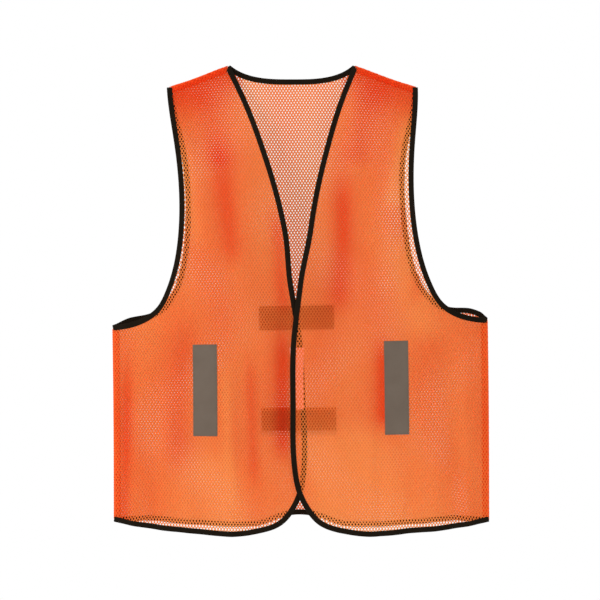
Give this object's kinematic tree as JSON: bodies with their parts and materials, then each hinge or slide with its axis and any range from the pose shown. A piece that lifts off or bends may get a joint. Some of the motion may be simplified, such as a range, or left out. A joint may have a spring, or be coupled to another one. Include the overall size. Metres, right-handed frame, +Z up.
{
  "type": "high visibility vest",
  "caption": "Sleeveless open-mesh safety vest with bound edges, reflective strips and overlapping hook-and-loop fronts that fold open.",
  "frame": {"origin": "top centre, on the line joining the neck points, in the plane of the shoulder and side seams", "axes": "+Z up as worn, -Y towards the front, +X towards the wearer's left"},
  "size_m": [0.548, 0.1046, 0.6845],
  "materials": {
    "netting": "matte open netting, fluorescent orange",
    "binding": "matte woven tape, near black",
    "seam_allowance": "matte overlocked netting",
    "reflective_strip": "satin retroreflective cloth, warm grey",
    "strip_thread": "matte thread",
    "hook_tape": "matte hook tape, salmon",
    "loop_tape": "matte napped loop tape, salmon",
    "tape_thread": "matte thread"
  },
  "bodies": {
    "vest_body": {"back_panel": "netting", "hem_binding": "binding", "left_armhole_binding": "binding", "left_front_reflective_strip": "reflective_strip", "left_front_side_panel": "netting", "left_front_strip_stitching": "strip_thread", "left_shoulder_seam": "seam_allowance", "left_side_seam": "seam_allowance", "lower_back_reflective_strip": "reflective_strip", "lower_back_strip_stitching": "strip_thread", "neck_binding": "binding", "right_armhole_binding": "binding", "right_front_reflective_strip": "reflective_strip", "right_front_side_panel": "netting", "right_front_strip_stitching": "strip_thread", "right_shoulder_seam": "seam_allowance", "right_side_seam": "seam_allowance", "upper_back_reflective_strip": "reflective_strip", "upper_back_strip_stitching": "strip_thread"},
    "left_front": {"left_front_flap_panel": "netting", "left_front_edge_binding": "binding", "closure_hook_tape": "hook_tape", "hook_tape_stitching": "tape_thread"},
    "right_front": {"right_front_flap_panel": "netting", "right_front_edge_binding": "binding", "closure_loop_tape": "loop_tape", "loop_tape_stitching": "tape_thread"}
  },
  "joints": [
    {"name": "left_front_fold", "type": "hinge", "parent": "vest_body", "child": "left_front", "pos_m": [0.07803, -0.03964, -0.341], "axis": [0, 0.0708, 0.9975], "range_deg": [0, 160]},
    {"name": "right_front_fold", "type": "hinge", "parent": "vest_body", "child": "right_front", "pos_m": [-0.07803, -0.03964, -0.341], "axis": [0, -0.0708, -0.9975], "range_deg": [0, 100]}
  ],
  "couplings": [
    {"joint": "right_front_fold", "follows": "left_front_fold", "ratio": 0.62}
  ]
}
